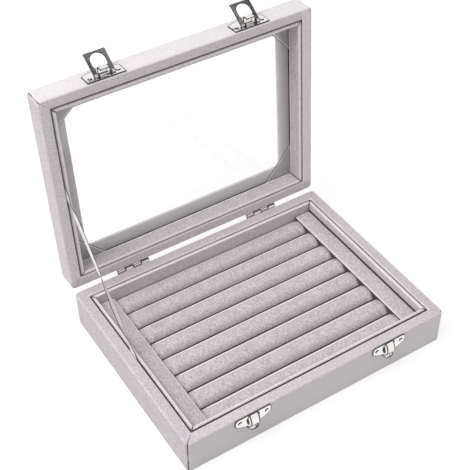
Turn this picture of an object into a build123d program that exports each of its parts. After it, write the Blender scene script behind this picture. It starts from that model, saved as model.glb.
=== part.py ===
# Ring display box: a shallow board box covered in velvet, with rows of padded ring rolls,
# a hinged lid that frames a glass window, two toggle latches and a ribbon that stops the lid.
#
# Millimetres. X runs to the right, Y to the back (the hinge side), Z up. The origin is the centre
# of the underside. The box is drawn open, as it stands on a counter; the lid pieces are drawn
# shut and then swung back about the hinge axis.
from build123d import *
import math
import os

# ---------------------------------------------------------------- outer sizes
box_width = 200.0
box_depth = 150.0
base_height = 27.0
lid_height = 16.5
closing_gap = 0.6          # air between the two velvet rims when the lid is shut
open_angle = 94.0          # the lid's lean when the ribbon is taut, in degrees

# ---------------------------------------------------------------- boards and velvet
wall_board = 6.0
floor_board = 3.0
border_board = 1.2         # the lid's top panel, which frames the window
velvet = 0.8
corner_round = 3.0         # upright corners, over the velvet
rim_round = 1.2            # long outer edges, over the velvet
inner_rim_round = 1.2
hem_lift = 0.1             # the turned-under velvet stays this far off the table
hem_width = 8.0
hem_bevel = 0.5
turn_in = 10.0             # how far the base's velvet is turned down inside the rim

# ---------------------------------------------------------------- liners, tray and glass
liner_gap = 0.5
base_liner = 2.8
lid_liner = 2.8
liner_drop = 0.3           # liner edges sit this far inside the rim
liner_round = 1.0
tray_board = 1.5
tray_clearance = 0.3
window_margin = 20.3       # outer face to window opening
window_corner = 4.0        # the cloth rounds the window's corners off
window_round = 1.2
glass_thickness = 2.0
glass_clearance = 0.3

# ---------------------------------------------------------------- ring rolls and end bars
roll_count = 8
roll_slot = 0.2            # rolls stand this far apart where their sides are upright
roll_drop = 8.5            # rim to the rolls' crown
roll_shoulder = 5.0        # radius where the sides turn over
roll_crown = 12.0          # radius of the low crown between the shoulders
roll_end_ease = 1.3        # the ends slope off under the glued cloth
sleeve = 1.0               # velvet sleeve round a foam core
bar_width = 12.6
bar_drop = 6.8             # rim to the top of the end bars
bar_gap = 0.2
bar_corner = 2.0
bar_round = 1.6            # top edges

# ---------------------------------------------------------------- hinges
hinge_x = 53.5
hinge_length = 25.0
hinge_offset = 1.3         # pin axis behind the back face
hinge_leaf = 0.6
hinge_leaf_reach = 11.0
hinge_leaf_round = 2.0
knuckle_radius = 1.0
knuckle_count = 4
knuckle_gap = 0.15
hinge_tack_spread = 7.5    # tack to the hinge's middle
hinge_tack_reach = 6.9     # tack to the pin axis
hinge_pin_radius = 0.5
running_clearance = 0.05

# ---------------------------------------------------------------- tacks
tack_head_radius = 1.45
tack_crown_radius = 0.9
tack_head_height = 0.55
tack_width = 0.9           # square shank, under the head
tack_length = 5.0
tack_point_width = 0.1
tack_clearance = 0.1       # round the shank in the metal's holes

# ---------------------------------------------------------------- latches on the lid
latch_x = 53.0
latch_width = 26.5
latch_side_height = 9.6    # the plate's straight ends
latch_height = 12.4        # the plate at its middle
latch_sheet = 0.7
latch_corner = 0.5         # the plate's corners
latch_rim_inset = 0.3      # plate edge to the lid's rim
latch_pin_inset = 3.3      # pin axis to the lid's rim
latch_pin_height = 1.8     # pin axis above the lid's front face
latch_pin_radius = 0.5
latch_tack_spread = 9.8    # tack to the latch's middle
latch_tack_inset = 4.4     # tack to the lid's rim
latch_window_clearance = 0.3
ear_spacing = 7.2          # between the two ears
ear_height = 1.0           # ears past the pin axis
ear_width = 2.4
ear_round = 1.08
spring_width = 6.4         # sprung tongue that arches over the pin
spring_height = 6.1        # its top above the lid's front face
spring_front = 1.3         # its front edge past the pin axis, toward the rim
spring_depth = 4.8
spring_lip = 1.1           # its front edge, turned down
spring_bend = 1.2
lever_open_angle = 143.0   # lever stood back, counted from shut
lever_width = 14.6
lever_reach = 15.9
lever_sheet = 0.7
lever_tip_rail = 1.3
lever_hole_width = 10.2
lever_arm_end = 5.0        # where the arms start to thin, from the pin axis
lever_hole_start = 6.5     # where the hole has its full width
lever_knuckle_radius = 1.0
lever_lip = 0.9
side_clearance = 0.1

# ---------------------------------------------------------------- catches on the base
catch_width = 26.5
catch_sheet = 0.8
catch_rim_inset = 0.4
catch_side_height = 6.0
catch_height = 10.4
catch_corner = 2.2
catch_tack_inset = 4.2
beak_width = 8.4
beak_start = 0.9           # upper beak, counted from the rim down
beak_end = 9.2
beak_reach = 2.8
beak_brow_drop = 2.6       # the brow, a point on the beak's sloping face
beak_brow_reach = 1.8
beak_nose = 1.8            # height of the rounded nose
beak_ease = 1.3            # sides bevelled off
beak_clearance = 0.4       # to the round end of the lever's hole
lip_start = 12.4           # lower lip, counted from the rim down
lip_end = 14.0
lip_reach = 2.0
lip_radius = 5.2           # its outline is a round of this radius

# ---------------------------------------------------------------- ribbon stay
ribbon_width = 8.0
ribbon_thickness = 0.36
ribbon_base_y = 6.0        # where it leaves the base's rim
ribbon_tuck = 11.0         # length glued down behind the base's liner
ribbon_end_clearance = 0.8  # the lid's end stops this far short of the glass
ribbon_rise = 76.5         # from the hinge edge of the lid's rim to where the ribbon leaves it

# ---------------------------------------------------------------- sizes worked out from the above
half_width = box_width / 2
half_depth = box_depth / 2
rim_width = wall_board + 2 * velvet
cavity_x = half_width - rim_width
cavity_y = half_depth - rim_width
board_inner_x = cavity_x + velvet
board_inner_y = cavity_y + velvet
underside = velvet + hem_lift
floor_top = underside + floor_board
tray_top = floor_top + tray_board
base_liner_outer_x = cavity_x - liner_gap
base_liner_outer_y = cavity_y - liner_gap
tray_x = base_liner_outer_x - base_liner
tray_y = base_liner_outer_y - base_liner
roll_top = base_height - roll_drop
roll_pitch = 2 * tray_y / roll_count
roll_half_length = tray_x - bar_gap - bar_width - bar_gap
bar_top = base_height - bar_drop

lid_rim = base_height + closing_gap
lid_top = lid_rim + lid_height
border_low = lid_top - velvet - border_board
mat_low = border_low - velvet
glass_low = mat_low - glass_thickness

hinge_y = half_depth + hinge_offset
hinge_z = base_height + closing_gap / 2
hinge_axis = Axis((0, hinge_y, hinge_z), (1, 0, 0))
latch_pin_y = -half_depth - latch_pin_height
latch_pin_z = lid_rim + latch_pin_inset


# ---------------------------------------------------------------- shared shapes
def block(half_x, half_y, low, high, corner=0.0):
    """An upright prism centred on the origin, with rounded upright corners if asked."""
    outline = Rectangle(2 * half_x, 2 * half_y)
    if corner > 0:
        outline = RectangleRounded(2 * half_x, 2 * half_y, corner)
    return extrude(Plane.XY.offset(low) * outline, high - low)


def span(x_low, x_high, y_low, y_high, low, high):
    """A box between three pairs of limits."""
    size = (x_high - x_low, y_high - y_low, high - low)
    centre = ((x_low + x_high) / 2, (y_low + y_high) / 2, (low + high) / 2)
    return Pos(*centre) * Box(*size)


def edges_at(shape, level, half_x=None, half_y=None):
    """The level edges at one height, or only those within the limits given."""
    near = 1e-3
    found = [e for e in shape.edges() if abs(e.bounding_box().min.Z - level) < near
             and abs(e.bounding_box().max.Z - level) < near]
    if half_x is not None:
        found = [e for e in found if abs(e.center().X) < half_x + near
                 and abs(e.center().Y) < half_y + near]
    return found


def outer_edges_at(shape, level, half_x, half_y):
    """The level edges at one height that run outside the limits given."""
    inside = edges_at(shape, level, half_x, half_y)
    return [e for e in edges_at(shape, level) if e not in inside]


def write(shape, name):
    """One STEP file per piece."""
    shape.label = name
    export_step(shape, f"parts/{name}.step")


def swing_open(shape):
    """Carries a lid piece from shut to the open rest position."""
    return shape.rotate(hinge_axis, -open_angle)


def mirror_x(shape):
    return mirror(shape, about=Plane.YZ)


# ---------------------------------------------------------------- walls and their velvet
def wall_ring(low, high, round_low, round_high):
    """Four wall boards as one ring, with the edges bevelled where the velvet wraps over them."""
    outer_x = half_width - velvet
    outer_y = half_depth - velvet
    ring = block(outer_x, outer_y, low, high, corner_round - velvet)
    ring -= block(board_inner_x, board_inner_y, low, high)
    limits = (board_inner_x, board_inner_y)
    for level, wanted in ((low, round_low), (high, round_high)):
        if wanted:
            ring = chamfer(outer_edges_at(ring, level, *limits), rim_round - velvet)
    return ring


def split_walls(ring, low, high):
    """Butt joints: the front and back boards run full width, the side boards stand between."""
    x_limits = (-half_width, half_width)
    boards = {}
    boards["front"] = ring & span(*x_limits, -half_depth, -board_inner_y, low, high)
    boards["back"] = ring & span(*x_limits, board_inner_y, half_depth, low, high)
    y_limits = (-board_inner_y, board_inner_y)
    boards["left"] = ring & span(-half_width, -board_inner_x, *y_limits, low, high)
    boards["right"] = ring & span(board_inner_x, half_width, *y_limits, low, high)
    return boards


def base_cover():
    """Velvet wrapped round the base's walls: down inside the rim, and turned under the floor."""
    cover = block(half_width, half_depth, hem_lift, base_height, corner_round)
    cover = fillet(edges_at(cover, base_height), rim_round)
    cover = chamfer(edges_at(cover, hem_lift), hem_bevel)
    cover -= block(cavity_x, cavity_y, base_height - turn_in, base_height)
    cover = fillet(edges_at(cover, base_height, cavity_x, cavity_y), inner_rim_round)
    cover -= block(board_inner_x, board_inner_y, underside, base_height - turn_in)
    cover -= block(half_width - hem_width, half_depth - hem_width, hem_lift, underside)
    return cover


def lid_cover():
    """Velvet over the whole lid frame: walls, rim, top, and round the window's edge."""
    cover = block(half_width, half_depth, lid_rim, lid_top, corner_round)
    cover = fillet(edges_at(cover, lid_top), rim_round)
    cover = fillet(edges_at(cover, lid_rim), rim_round)
    cover -= block(cavity_x, cavity_y, lid_rim, mat_low)
    cover = fillet(edges_at(cover, lid_rim, cavity_x, cavity_y), inner_rim_round)
    window_x = half_width - window_margin
    window_y = half_depth - window_margin
    cover -= block(window_x, window_y, mat_low, lid_top, window_corner)
    return fillet(edges_at(cover, lid_top, window_x, window_y), window_round)


def lid_border():
    """The lid's top panel, with the window cut through it."""
    panel = block(half_width - velvet, half_depth - velvet, border_low, lid_top - velvet,
                  corner_round - velvet)
    panel = chamfer(edges_at(panel, lid_top - velvet), rim_round - velvet)
    panel -= block(half_width - window_margin + velvet, half_depth - window_margin + velvet,
                   border_low, lid_top - velvet, window_corner + velvet)
    return panel


# ---------------------------------------------------------------- mitred liners
def liners(outer_x, outer_y, thickness, low, high, show_level):
    """Four velvet-covered boards stood on edge inside the frame, mitred where they meet."""
    ring = block(outer_x, outer_y, low, high)
    ring -= block(outer_x - thickness, outer_y - thickness, low, high)
    ring = fillet(edges_at(ring, show_level), liner_round)
    reach = thickness + liner_round
    inner_x = outer_x - reach
    inner_y = outer_y - reach
    corners = {
        "front": [(-outer_x, -outer_y), (outer_x, -outer_y), (inner_x, -inner_y), (-inner_x, -inner_y)],
        "back": [(-outer_x, outer_y), (outer_x, outer_y), (inner_x, inner_y), (-inner_x, inner_y)],
        "left": [(-outer_x, -outer_y), (-outer_x, outer_y), (-inner_x, inner_y), (-inner_x, -inner_y)],
        "right": [(outer_x, -outer_y), (outer_x, outer_y), (inner_x, inner_y), (inner_x, -inner_y)],
    }
    pieces = {}
    for side, points in corners.items():
        wedge = extrude(Plane.XY.offset(low) * make_face(Polyline(*points, close=True)), high - low)
        pieces[side] = ring & wedge
    return pieces


# ---------------------------------------------------------------- ring rolls and end bars
def roll_profile(inset):
    """A roll's cross-section in YZ: flat foot, upright sides, round shoulders, low crown.
    The crown's arc and the shoulders' arcs meet without a crease."""
    half = (roll_pitch - roll_slot) / 2 - inset
    low = tray_top + inset
    high = roll_top - inset
    shoulder = roll_shoulder - inset
    crown = roll_crown - inset
    crown_z = high - crown
    shoulder_y = half - shoulder
    shoulder_z = crown_z + math.sqrt((crown - shoulder) ** 2 - shoulder_y ** 2)
    turn = math.atan2(shoulder_z - crown_z, shoulder_y)
    join = (crown * math.cos(turn), crown_z + crown * math.sin(turn))
    mid = (shoulder_y + shoulder * math.cos(turn / 2), shoulder_z + shoulder * math.sin(turn / 2))
    with BuildSketch(Plane.YZ) as sketch:
        with BuildLine():
            Line((-half, low), (half, low))
            Line((half, low), (half, shoulder_z))
            ThreePointArc((half, shoulder_z), mid, join)
            ThreePointArc(join, (0, high), (-join[0], join[1]))
            ThreePointArc((-join[0], join[1]), (-mid[0], mid[1]), (-half, shoulder_z))
            Line((-half, shoulder_z), (-half, low))
        make_face()
    return sketch.sketch


def roll_core():
    """The foam inside a roll."""
    reach = roll_half_length - sleeve
    return extrude(Pos(-reach, 0, 0) * roll_profile(sleeve), 2 * reach, dir=(1, 0, 0))


def roll_outside():
    """A roll's velvet surface, its ends eased down to the tray."""
    solid = extrude(Pos(-roll_half_length, 0, 0) * roll_profile(0), 2 * roll_half_length, dir=(1, 0, 0))
    ends = [e for e in solid.edges() if abs(abs(e.center().X) - roll_half_length) < 1e-3
            and e.center().Z > tray_top + 1e-3]
    return chamfer(ends, roll_end_ease)


def bar_core():
    """The foam inside the right end bar."""
    inner = tray_x - bar_gap - bar_width + sleeve
    outer = tray_x - bar_gap - sleeve
    reach = tray_y - bar_gap - sleeve
    return span(inner, outer, -reach, reach, tray_top + sleeve, bar_top - sleeve)


def bar_outside():
    """The right end bar's velvet surface, with soft upper edges and corners."""
    reach = tray_y - bar_gap
    bar = span(tray_x - bar_gap - bar_width, tray_x - bar_gap, -reach, reach, tray_top, bar_top)
    bar = fillet(bar.edges().filter_by(Axis.Z), bar_corner)
    return fillet(edges_at(bar, bar_top), bar_round)


# ---------------------------------------------------------------- tacks
def tack_plane(x, z, seat, toward):
    """A plane on y = seat whose normal runs the way a tack is driven, toward +1 or -1 in Y."""
    return Plane(origin=(x, seat, z), x_dir=(1, 0, 0), z_dir=(0, toward, 0))


def tack(x, z, seat, toward):
    """A tack with its head on the plane y = seat: a low cone for a head, and a square, tapered shank."""
    plane = tack_plane(x, z, seat, toward)
    taper = math.degrees(math.atan2((tack_width - tack_point_width) / 2, tack_length))
    shank = extrude(plane * Rectangle(tack_width, tack_width), tack_length, taper=taper)
    head = plane * Pos(0, 0, -tack_head_height / 2) * Cone(tack_crown_radius, tack_head_radius,
                                                           tack_head_height)
    return shank + head


def tack_holes(spots):
    """The punched holes in a metal plate that the tacks pass through, just over the shank's diagonal."""
    radius = tack_width / math.sqrt(2) + tack_clearance
    return [extrude(tack_plane(*spot) * Circle(radius), tack_head_radius) for spot in spots]


def pierce(shape, holes):
    for hole in holes:
        shape -= hole
    return shape


# ---------------------------------------------------------------- hinges
def knuckle_spans():
    """Where each knuckle starts and ends along the pin, counted from the hinge's left end."""
    pitch = hinge_length / knuckle_count
    return [(k * pitch + knuckle_gap / 2, (k + 1) * pitch - knuckle_gap / 2) for k in range(knuckle_count)]


def hinge_leaf_solid(x, side):
    """One leaf: a plate on the back face with every other knuckle curled round the pin.
    side is -1 for the base's leaf, which hangs down, and +1 for the lid's, which stands up."""
    shoulder = knuckle_radius + knuckle_gap
    far = hinge_z + side * hinge_leaf_reach
    near = hinge_z + side * shoulder
    leaf = span(x - hinge_length / 2, x + hinge_length / 2, half_depth, half_depth + hinge_leaf,
                min(far, near), max(far, near))
    leaf = fillet([e for e in leaf.edges().filter_by(Axis.Y) if abs(e.center().Z - far) < 1e-3],
                  hinge_leaf_round)
    bore = hinge_pin_radius + (running_clearance if side > 0 else 0)
    for index, (start, end) in enumerate(knuckle_spans()):
        if index % 2 == (0 if side > 0 else 1):
            continue
        left = x - hinge_length / 2 + start
        right = x - hinge_length / 2 + end
        tab = span(left, right, half_depth, half_depth + hinge_leaf, min(hinge_z, near), max(hinge_z, near))
        barrel_plane = Plane(origin=(left, hinge_y, hinge_z), x_dir=(0, 1, 0), z_dir=(1, 0, 0))
        tab += extrude(barrel_plane * Circle(knuckle_radius), right - left)
        leaf += tab
        leaf -= extrude(barrel_plane * Circle(bore), right - left)
    return leaf


def hinge_pin(x):
    plane = Plane(origin=(x - hinge_length / 2, hinge_y, hinge_z), x_dir=(0, 1, 0), z_dir=(1, 0, 0))
    return extrude(plane * Circle(hinge_pin_radius), hinge_length)


def hinge_tack_spots(side):
    """Where the two tacks of each leaf go, for both hinges."""
    height = hinge_z + side * hinge_tack_reach
    return [(x + step, height, half_depth + hinge_leaf, -1) for x in (-hinge_x, hinge_x)
            for step in (-hinge_tack_spread, hinge_tack_spread)]


# ---------------------------------------------------------------- latch plates and levers
def bowed_plate(width, side_height, height, corner, low, up, seat, sheet):
    """A stamped plate on the front: one long straight edge at low, straight ends, a bowed far edge.
    up is +1 when the bow lies above the straight edge, and -1 when it lies below."""
    half = width / 2
    plane = Plane(origin=(0, seat, low), x_dir=(1, 0, 0), z_dir=(0, -1, 0))
    with BuildSketch(plane) as sketch:
        with BuildLine():
            Line((-half, 0), (half, 0))
            Line((half, 0), (half, up * side_height))
            ThreePointArc((half, up * side_height), (0, up * height), (-half, up * side_height))
            Line((-half, up * side_height), (-half, 0))
        make_face()
    plate = extrude(sketch.sketch, sheet)
    upright = plate.edges().filter_by(Axis.Y)
    return fillet(upright, corner)


def spring_tongue():
    """The plate's sprung tongue at x = 0: cut from the window, it stands up behind the pin, arches
    over it and turns down in front."""
    top = -half_depth - spring_height
    front = latch_pin_z - spring_front
    rear = front + spring_depth
    arch = span(-spring_width / 2, spring_width / 2, top, -half_depth, front, rear)
    bends = [e for e in arch.edges().filter_by(Axis.X) if abs(e.center().Y - top) < 1e-3]
    arch = fillet(bends, spring_bend)
    hollow = span(-spring_width / 2, spring_width / 2, top + latch_sheet, -half_depth, front + latch_sheet,
                  rear - latch_sheet)
    inner = [e for e in hollow.edges().filter_by(Axis.X) if abs(e.center().Y - top - latch_sheet) < 1e-3]
    arch -= fillet(inner, spring_bend - latch_sheet)
    arch -= span(-spring_width / 2, spring_width / 2, top + spring_lip, -half_depth, front, front + latch_sheet)
    return arch


def latch_plate():
    """Plate at x = 0 with a window, two ears that hold the lever's pin, and the sprung tongue."""
    plate = bowed_plate(latch_width, latch_side_height, latch_height, latch_corner,
                        lid_rim + latch_rim_inset, 1, -half_depth, latch_sheet)
    ear_inner = ear_spacing / 2
    window_low = latch_pin_z - ear_width / 2 - latch_window_clearance
    window_high = latch_pin_z - spring_front + spring_depth - latch_sheet
    front = -half_depth - latch_sheet
    plate -= span(-ear_inner, ear_inner, front, -half_depth, window_low, window_high)
    ear_tip = latch_pin_height + ear_height
    for side in (-1, 1):
        low_x = min(side * ear_inner, side * (ear_inner + latch_sheet))
        ear = span(low_x, low_x + latch_sheet, -half_depth - ear_tip, -half_depth,
                   latch_pin_z - ear_width / 2, latch_pin_z + ear_width / 2)
        tips = [e for e in ear.edges().filter_by(Axis.X) if e.center().Y < front]
        plate += fillet(tips, ear_round)
    plate += spring_tongue()
    plate -= latch_pin()
    return plate


def latch_pin():
    """The lever's pin, held in both ears and running out through the lever's arms, at x = 0."""
    plane = Plane(origin=(-lever_width / 2, latch_pin_y, latch_pin_z), x_dir=(0, 1, 0), z_dir=(1, 0, 0))
    return extrude(plane * Circle(latch_pin_radius), lever_width)


def latch_lever():
    """The lever at x = 0, drawn shut: a stamped fork whose two arms end in eyes round the pin.
    Distances run down from the pin axis."""
    half = lever_width / 2
    tip = -lever_reach
    fork = ear_spacing / 2 + latch_sheet + side_clearance
    arch_radius = lever_hole_width / 2
    arch_centre = tip + lever_tip_rail + arch_radius
    plane = Plane(origin=(0, latch_pin_y + lever_sheet / 2, latch_pin_z), x_dir=(1, 0, 0), z_dir=(0, -1, 0))
    with BuildSketch(plane) as outline:
        with BuildLine():
            Polyline((-half, 0), (half, 0), (half, tip), (-half, tip), (-half, 0))
        make_face()
    frame = extrude(outline.sketch, lever_sheet)
    with BuildSketch(plane) as hole:
        with BuildLine():
            Polyline((-arch_radius, arch_centre), (-arch_radius, -lever_hole_start), (-fork, -lever_arm_end),
                     (-fork, 0), (fork, 0), (fork, -lever_arm_end), (arch_radius, -lever_hole_start),
                     (arch_radius, arch_centre))
            ThreePointArc((arch_radius, arch_centre), (0, arch_centre - arch_radius), (-arch_radius, arch_centre))
        make_face()
    frame -= extrude(hole.sketch, lever_sheet)
    for left in (-half, fork):
        eye_plane = Plane(origin=(left, latch_pin_y, latch_pin_z), x_dir=(0, 1, 0), z_dir=(1, 0, 0))
        frame += extrude(eye_plane * Circle(lever_knuckle_radius), half - fork)
    bore_plane = Plane(origin=(-half, latch_pin_y, latch_pin_z), x_dir=(0, 1, 0), z_dir=(1, 0, 0))
    frame -= extrude(bore_plane * Circle(latch_pin_radius + running_clearance), lever_width)
    frame += span(-half, half, latch_pin_y - lever_sheet / 2 - lever_lip, latch_pin_y - lever_sheet / 2,
                  latch_pin_z + tip, latch_pin_z + tip + lever_sheet)
    return frame


def lever_in_place(x):
    """A lever on its pin in the lid, stood back, with the lid open."""
    pin_axis = Axis((0, latch_pin_y, latch_pin_z), (1, 0, 0))
    stood = latch_lever().rotate(pin_axis, -lever_open_angle)
    return swing_open(Pos(x, 0, 0) * stood)


# ---------------------------------------------------------------- catches
def catch():
    """A stamped plate with a two-lipped beak, at x = 0: the lever's frame snaps over the upper lip
    and its tip rail lies between the two."""
    top = base_height - catch_rim_inset
    plate = bowed_plate(catch_width, catch_side_height, catch_height, catch_corner, top, -1, -half_depth,
                        catch_sheet)
    face = -half_depth - catch_sheet
    nose = face - beak_reach
    start = base_height - beak_start
    end = base_height - beak_end
    brow = (face - beak_brow_reach, start - beak_brow_drop)
    nose_mid = beak_nose * (1 - math.sqrt(0.5))
    with BuildSketch(Plane.YZ) as upper:
        with BuildLine():
            Line((face, end), (face, start))
            ThreePointArc((face, start), brow, (nose, end + beak_nose))
            ThreePointArc((nose, end + beak_nose), (nose + nose_mid, end + nose_mid), (nose + beak_nose, end))
            Line((nose + beak_nose, end), (face, end))
        make_face()
    beak = extrude(Pos(-beak_width / 2, 0, 0) * upper.sketch, beak_width, dir=(1, 0, 0))
    sides = [e for e in beak.edges() if abs(abs(e.center().X) - beak_width / 2) < 1e-3
             and e.center().Y < face - 1e-3 and e.center().Z > end + 1e-3]
    beak = chamfer(sides, beak_ease)
    arch_radius = lever_hole_width / 2
    arch_z = latch_pin_z - lever_reach + lever_tip_rail + arch_radius
    arch_plane = Plane(origin=(0, face, arch_z), x_dir=(1, 0, 0), z_dir=(0, -1, 0))
    outline = Circle(arch_radius - beak_clearance)
    outline += Pos(0, beak_width) * Rectangle(2 * arch_radius, 2 * beak_width)
    beak &= extrude(arch_plane * outline, beak_reach)
    lip_low = base_height - lip_end
    lip_high = base_height - lip_start
    tip = face - lip_reach
    with BuildSketch(Plane.YZ) as lower:
        with BuildLine():
            Polyline((-half_depth, lip_high + catch_sheet), (-half_depth, lip_low + catch_sheet),
                     (tip, lip_low), (tip, lip_low + catch_sheet), (face, lip_high),
                     (face, lip_high + catch_sheet), close=True)
        make_face()
    lip = extrude(Pos(-beak_width / 2, 0, 0) * lower.sketch, beak_width, dir=(1, 0, 0))
    stem = span(-beak_width / 2, beak_width / 2, face, -half_depth, lip_high, base_height - catch_side_height)
    round_plane = Plane(origin=(0, -half_depth, lip_low + lip_radius), x_dir=(1, 0, 0), z_dir=(0, -1, 0))
    lip &= extrude(round_plane * Circle(lip_radius), catch_sheet + lip_reach)
    return plate + stem + beak + lip


# ---------------------------------------------------------------- ribbon stay
def ribbon():
    """A satin ribbon glued behind the left liners of base and lid, taut when the lid is open."""
    x = -(cavity_x - liner_gap / 2)
    start = Vector(x, ribbon_base_y, base_height)
    lean = math.radians(open_angle)
    back = half_depth - ribbon_rise - hinge_y
    up = lid_rim - hinge_z
    end = Vector(x, hinge_y + back * math.cos(lean) + up * math.sin(lean),
                 hinge_z - back * math.sin(lean) + up * math.cos(lean))
    along = (end - start).normalized()
    into_lid = along.Y * math.sin(lean) + along.Z * math.cos(lean)
    across_lid = math.sqrt(1 - into_lid ** 2)
    gap_depth = glass_low - lid_rim - ribbon_end_clearance
    lid_tuck = (gap_depth - ribbon_width / 2 * across_lid) / into_lid
    first = start - along * ribbon_tuck
    length = ribbon_tuck + (end - start).length + lid_tuck
    plane = Plane(origin=first, x_dir=along, z_dir=(1, 0, 0))
    strip = plane * (Pos(length / 2, 0, 0) * Box(length, ribbon_width, ribbon_thickness))
    print("ribbon: free length %.1f mm, whole length %.1f mm" % ((end - start).length, length))
    return strip


# ---------------------------------------------------------------- the whole box
os.makedirs("parts", exist_ok=True)

latch_spots = (-latch_x, latch_x)
front_face = -half_depth

# where the tacks go, and the holes they pass through in the metal
base_leaf_tacks = hinge_tack_spots(-1)
lid_leaf_tacks = hinge_tack_spots(1)
latch_tack_x = [x + step for x in latch_spots for step in (-latch_tack_spread, latch_tack_spread)]
catch_tacks = [(x, base_height - catch_tack_inset, front_face - catch_sheet, 1) for x in latch_tack_x]
latch_tacks = [(x, lid_rim + latch_tack_inset, front_face - latch_sheet, 1) for x in latch_tack_x]

# base: boards, floor, velvet and underside sheet
base_ring = wall_ring(underside, base_height - velvet, False, True)
for side, board in split_walls(base_ring, underside, base_height).items():
    write(board, f"base_{side}_board")
write(block(board_inner_x, board_inner_y, underside, floor_top), "base_floor_board")
write(base_cover() - base_ring, "base_velvet_cover")
write(block(half_width - hem_width, half_depth - hem_width, 0, underside), "base_underside_sheet")

# base: liners, tray, rolls and end bars
for side, piece in liners(base_liner_outer_x, base_liner_outer_y, base_liner, floor_top,
                          base_height - liner_drop, base_height - liner_drop).items():
    write(piece, f"base_liner_{side}")
write(block(tray_x - tray_clearance, tray_y - tray_clearance, floor_top, tray_top), "ring_tray_board")
roll_foam = roll_core()
roll_sleeve = roll_outside() - roll_foam
cores = []
for number in range(roll_count):
    place = Pos(0, tray_y - roll_pitch * (number + 0.5), 0)
    write(place * roll_sleeve, f"ring_roll_{number + 1}")
    cores.append(place * roll_foam)
write(Compound(children=cores), "ring_roll_cores")
bar_foam = bar_core()
bar_sleeve = bar_outside() - bar_foam
write(bar_sleeve, "end_bar_right")
write(mirror_x(bar_sleeve), "end_bar_left")
write(Compound(children=[bar_foam, mirror_x(bar_foam)]), "end_bar_cores")

# base: hinge leaves, pins, catches, tacks and ribbon
for side, x in (("left", -hinge_x), ("right", hinge_x)):
    write(pierce(hinge_leaf_solid(x, -1), tack_holes(base_leaf_tacks)), f"hinge_{side}_base_leaf")
write(Compound(children=[hinge_pin(-hinge_x), hinge_pin(hinge_x)]), "hinge_pins")
write(Compound(children=[tack(*spot) for spot in base_leaf_tacks]), "hinge_base_tacks")
catch_solid = catch()
for side, x in (("left", -latch_x), ("right", latch_x)):
    write(pierce(Pos(x, 0, 0) * catch_solid, tack_holes(catch_tacks)), f"catch_{side}")
write(Compound(children=[tack(*spot) for spot in catch_tacks]), "catch_tacks")
write(ribbon(), "stay_ribbon")

# lid: boards, window border, velvet, glass and liners
lid_ring = wall_ring(lid_rim + velvet, border_low, True, False)
for side, board in split_walls(lid_ring, lid_rim, border_low).items():
    write(swing_open(board), f"lid_{side}_board")
lid_panel = lid_border()
write(swing_open(lid_panel), "lid_window_border")
write(swing_open(lid_cover() - lid_ring - lid_panel), "lid_velvet_cover")
glass = block(cavity_x - glass_clearance, cavity_y - glass_clearance, glass_low, mat_low)
write(swing_open(glass), "glass_pane")
for side, piece in liners(cavity_x - liner_gap, cavity_y - liner_gap, lid_liner, lid_rim + liner_drop,
                          glass_low, lid_rim + liner_drop).items():
    write(swing_open(piece), f"lid_liner_{side}")

# lid: hinge leaves, latch plates, pins and tacks
for side, x in (("left", -hinge_x), ("right", hinge_x)):
    lid_leaf = pierce(hinge_leaf_solid(x, 1), tack_holes(lid_leaf_tacks))
    write(swing_open(lid_leaf), f"hinge_{side}_lid_leaf")
write(swing_open(Compound(children=[tack(*spot) for spot in lid_leaf_tacks])), "hinge_lid_tacks")
plate_solid = latch_plate()
for side, x in (("left", -latch_x), ("right", latch_x)):
    plate = pierce(Pos(x, 0, 0) * plate_solid, tack_holes(latch_tacks))
    write(swing_open(plate), f"latch_{side}_plate")
    write(lever_in_place(x), f"latch_{side}_lever")
pins = Compound(children=[Pos(x, 0, 0) * latch_pin() for x in latch_spots])
write(swing_open(pins), "latch_pins")
write(swing_open(Compound(children=[tack(*spot) for spot in latch_tacks])), "latch_tacks")
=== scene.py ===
import math

import bmesh
import bpy
from mathutils import Matrix, Vector, noise


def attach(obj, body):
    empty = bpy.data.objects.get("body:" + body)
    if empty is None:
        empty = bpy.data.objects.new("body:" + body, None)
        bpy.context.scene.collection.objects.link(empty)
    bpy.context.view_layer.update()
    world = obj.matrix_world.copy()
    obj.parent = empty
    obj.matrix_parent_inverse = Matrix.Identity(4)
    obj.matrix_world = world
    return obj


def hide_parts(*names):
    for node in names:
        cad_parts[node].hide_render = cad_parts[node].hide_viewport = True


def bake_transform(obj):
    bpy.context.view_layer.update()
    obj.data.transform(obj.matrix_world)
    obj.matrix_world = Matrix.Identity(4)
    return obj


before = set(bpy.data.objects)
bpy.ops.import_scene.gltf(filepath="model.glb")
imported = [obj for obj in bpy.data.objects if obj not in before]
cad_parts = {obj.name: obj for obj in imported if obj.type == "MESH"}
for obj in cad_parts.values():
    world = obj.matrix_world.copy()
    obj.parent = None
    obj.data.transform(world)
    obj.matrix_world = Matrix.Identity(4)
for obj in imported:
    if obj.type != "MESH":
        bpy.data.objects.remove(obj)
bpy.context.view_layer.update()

# ---------------------------------------- greyboard walls, floor, tray and window border
# The carcass is 6 mm and 3 mm greyboard, pulped paper pressed flat, cut on a board cutter and glued
# at butt joints. Nearly all of it is hidden under velvet, and it shows only between the rolls.


def colour(code):
    """An sRGB hex code as the linear colour that a shader reads."""
    parts = [int(code[k:k + 2], 16) / 255 for k in (1, 3, 5)]
    return [p / 12.92 if p <= 0.04045 else ((p + 0.055) / 1.055) ** 2.4 for p in parts] + [1.0]


def add_node(material, kind, inputs, **settings):
    """Adds a node. inputs gives each socket a value, or the socket that feeds it."""
    node = material.node_tree.nodes.new(kind)
    for name, value in settings.items():
        setattr(node, name, value)
    for name, value in inputs.items():
        if isinstance(value, bpy.types.NodeSocket):
            material.node_tree.links.new(value, node.inputs[name])
        else:
            node.inputs[name].default_value = value
    return node


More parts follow.
